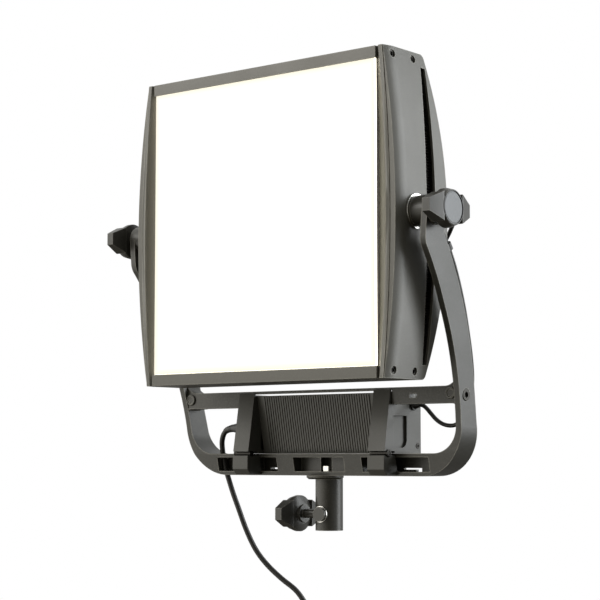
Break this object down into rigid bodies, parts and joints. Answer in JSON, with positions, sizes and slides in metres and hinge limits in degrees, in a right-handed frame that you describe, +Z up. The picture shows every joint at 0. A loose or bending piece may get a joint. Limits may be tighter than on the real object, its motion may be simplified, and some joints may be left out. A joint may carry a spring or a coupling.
{
  "type": "led panel light",
  "caption": "Flat LED studio panel light on a tilting U-shaped yoke, with its power supply in the yoke and a stand receiver below.",
  "frame": {"origin": "centre of the stand receiver's mouth, on the bore's axis", "axes": "+Z up, along the bore into the part; -Y the way the panel faces; +X to the right seen from the front"},
  "size_m": [0.454, 0.2223, 0.7635],
  "materials": {
    "charcoal_paint": "satin charcoal powder coat",
    "yoke_paint": "satin dark grey powder coat, fine grain",
    "dark_plastic": "moulded, fine texture",
    "knob_plastic": "moulded, satin",
    "cap_print": "smooth disc",
    "diffuser_sheet": "opal sheet, lit from behind",
    "white_sheet": "white, diffuse",
    "board_white": "white solder mask",
    "emitter": "phosphor dome",
    "bare_aluminium": "extruded, as cut",
    "board_green": "green solder mask",
    "black_plastic": "moulded, smooth",
    "screen": "dark display window",
    "button_grey": "soft key",
    "rocker_red": "red rocker",
    "black_screw": "black oxide",
    "nickel": "nickel plate, satin",
    "stud_steel": "dark zinc plate",
    "white_nylon": "nylon",
    "brass_pad": "turned",
    "lead_jacket": "matt jacket",
    "tie_strap": "hook and loop strap",
    "blade_brass": "stamped"
  },
  "bodies": {
    "yoke_and_supply": {"yoke": "yoke_paint", "cross_rail": "yoke_paint", "cross_rail_screws": "black_screw", "psu_body": "charcoal_paint", "psu_cap_left": "charcoal_paint", "psu_cap_right": "charcoal_paint", "psu_board": "board_green", "psu_screws": "black_screw", "psu_brackets": "charcoal_paint", "psu_bracket_pins": "black_screw", "receiver": "yoke_paint", "receiver_bolt": "nickel", "receiver_insert": "nickel", "receiver_plug": "knob_plastic", "cable_clip": "dark_plastic", "mains_gland": "black_plastic", "dc_gland": "black_plastic", "dc_lead": "lead_jacket", "mains_lead": "lead_jacket", "mains_coil": "lead_jacket", "coil_tie": "tie_strap", "mains_plug": "black_plastic", "plug_blades": "blade_brass"},
    "light_head": {"bezel_top": "charcoal_paint", "bezel_bottom": "charcoal_paint", "side_frame_left": "charcoal_paint", "side_frame_right": "charcoal_paint", "side_cover_left": "charcoal_paint", "side_cover_right": "charcoal_paint", "rear_shell": "charcoal_paint", "diffuser": "diffuser_sheet", "light_box": "white_sheet", "led_board": "board_white", "led_emitters": "emitter", "heat_sink": "bare_aluminium", "driver_board": "board_green", "fan_frame": "black_plastic", "fan_grille": "black_screw", "control_console": "dark_plastic", "display_window": "screen", "dc_inlet": "black_plastic", "dc_plug": "dark_plastic", "side_screws": "black_screw", "pivot_washers": "nickel", "pivot_studs": "stud_steel"},
    "fan_wheel": {"fan_rotor": "black_plastic"},
    "dimmer": {"dimmer_knob": "knob_plastic"},
    "colour": {"colour_knob": "knob_plastic"},
    "menu_key": {"menu_button": "button_grey"},
    "mode_key": {"mode_button": "button_grey"},
    "power_switch": {"power_rocker": "rocker_red"},
    "tilt_screw_left": {"tilt_washer_left": "white_nylon"},
    "tilt_handle_left": {"tilt_knob_left": "knob_plastic", "tilt_cap_left": "cap_print"},
    "tilt_screw_right": {"tilt_washer_right": "white_nylon"},
    "tilt_handle_right": {"tilt_knob_right": "knob_plastic", "tilt_cap_right": "cap_print"},
    "receiver_screw": {"receiver_pad": "brass_pad"},
    "receiver_handle": {"receiver_knob": "knob_plastic", "receiver_knob_cap": "cap_print"}
  },
  "joints": [
    {"name": "head_tilt", "type": "hinge", "parent": "yoke_and_supply", "child": "light_head", "pos_m": [0, -0.089, 0.3275], "axis": [1, 0, 0], "range_deg": [-90, 90], "deforming": ["dc_lead"]},
    {"name": "tilt_screw_travel_left", "type": "slide", "parent": "light_head", "child": "tilt_screw_left", "axis": [-1, 0, 0], "range_m": [0, 0.0031]},
    {"name": "tilt_knob_turn_left", "type": "hinge", "parent": "tilt_screw_left", "child": "tilt_handle_left", "pos_m": [-0.215, -0.089, 0.3275], "axis": [-1, 0, 0], "range_deg": [0, 720]},
    {"name": "tilt_screw_travel_right", "type": "slide", "parent": "light_head", "child": "tilt_screw_right", "axis": [1, 0, 0], "range_m": [0, 0.0031]},
    {"name": "tilt_knob_turn_right", "type": "hinge", "parent": "tilt_screw_right", "child": "tilt_handle_right", "pos_m": [0.215, -0.089, 0.3275], "axis": [1, 0, 0], "range_deg": [0, 720]},
    {"name": "receiver_screw_travel", "type": "slide", "parent": "yoke_and_supply", "child": "receiver_screw", "axis": [-1, 0, 0], "range_m": [-0.0003, 0.0031]},
    {"name": "receiver_knob_turn", "type": "hinge", "parent": "receiver_screw", "child": "receiver_handle", "pos_m": [-0.045, 0, 0.018], "axis": [-1, 0, 0], "range_deg": [-60, 720]},
    {"name": "fan_spin", "type": "hinge", "parent": "light_head", "child": "fan_wheel", "pos_m": [0, -0.045, 0.3725], "axis": [0, 1, 0], "continuous": true},
    {"name": "dimmer_turn", "type": "hinge", "parent": "light_head", "child": "dimmer", "pos_m": [0.075, -0.013, 0.2355], "axis": [0, 1, 0], "continuous": true},
    {"name": "colour_turn", "type": "hinge", "parent": "light_head", "child": "colour", "pos_m": [0.038, -0.013, 0.2355], "axis": [0, 1, 0], "continuous": true},
    {"name": "menu_press", "type": "slide", "parent": "light_head", "child": "menu_key", "axis": [0, -1, 0], "range_m": [0, 0.001], "stiffness_N_per_m": 600, "springref_m": -0.001},
    {"name": "mode_press", "type": "slide", "parent": "light_head", "child": "mode_key", "axis": [0, -1, 0], "range_m": [0, 0.001], "stiffness_N_per_m": 600, "springref_m": -0.001},
    {"name": "power_rock", "type": "hinge", "parent": "light_head", "child": "power_switch", "pos_m": [-0.088, -0.026, 0.2355], "axis": [1, 0, 0], "range_deg": [-8, 8]}
  ],
  "couplings": [
    {"joint": "tilt_screw_travel_left", "follows": "tilt_knob_turn_left", "m_per_rad": 0.00023873},
    {"joint": "tilt_screw_travel_right", "follows": "tilt_knob_turn_right", "m_per_rad": 0.00023873},
    {"joint": "receiver_screw_travel", "follows": "receiver_knob_turn", "m_per_rad": 0.00023873}
  ]
}
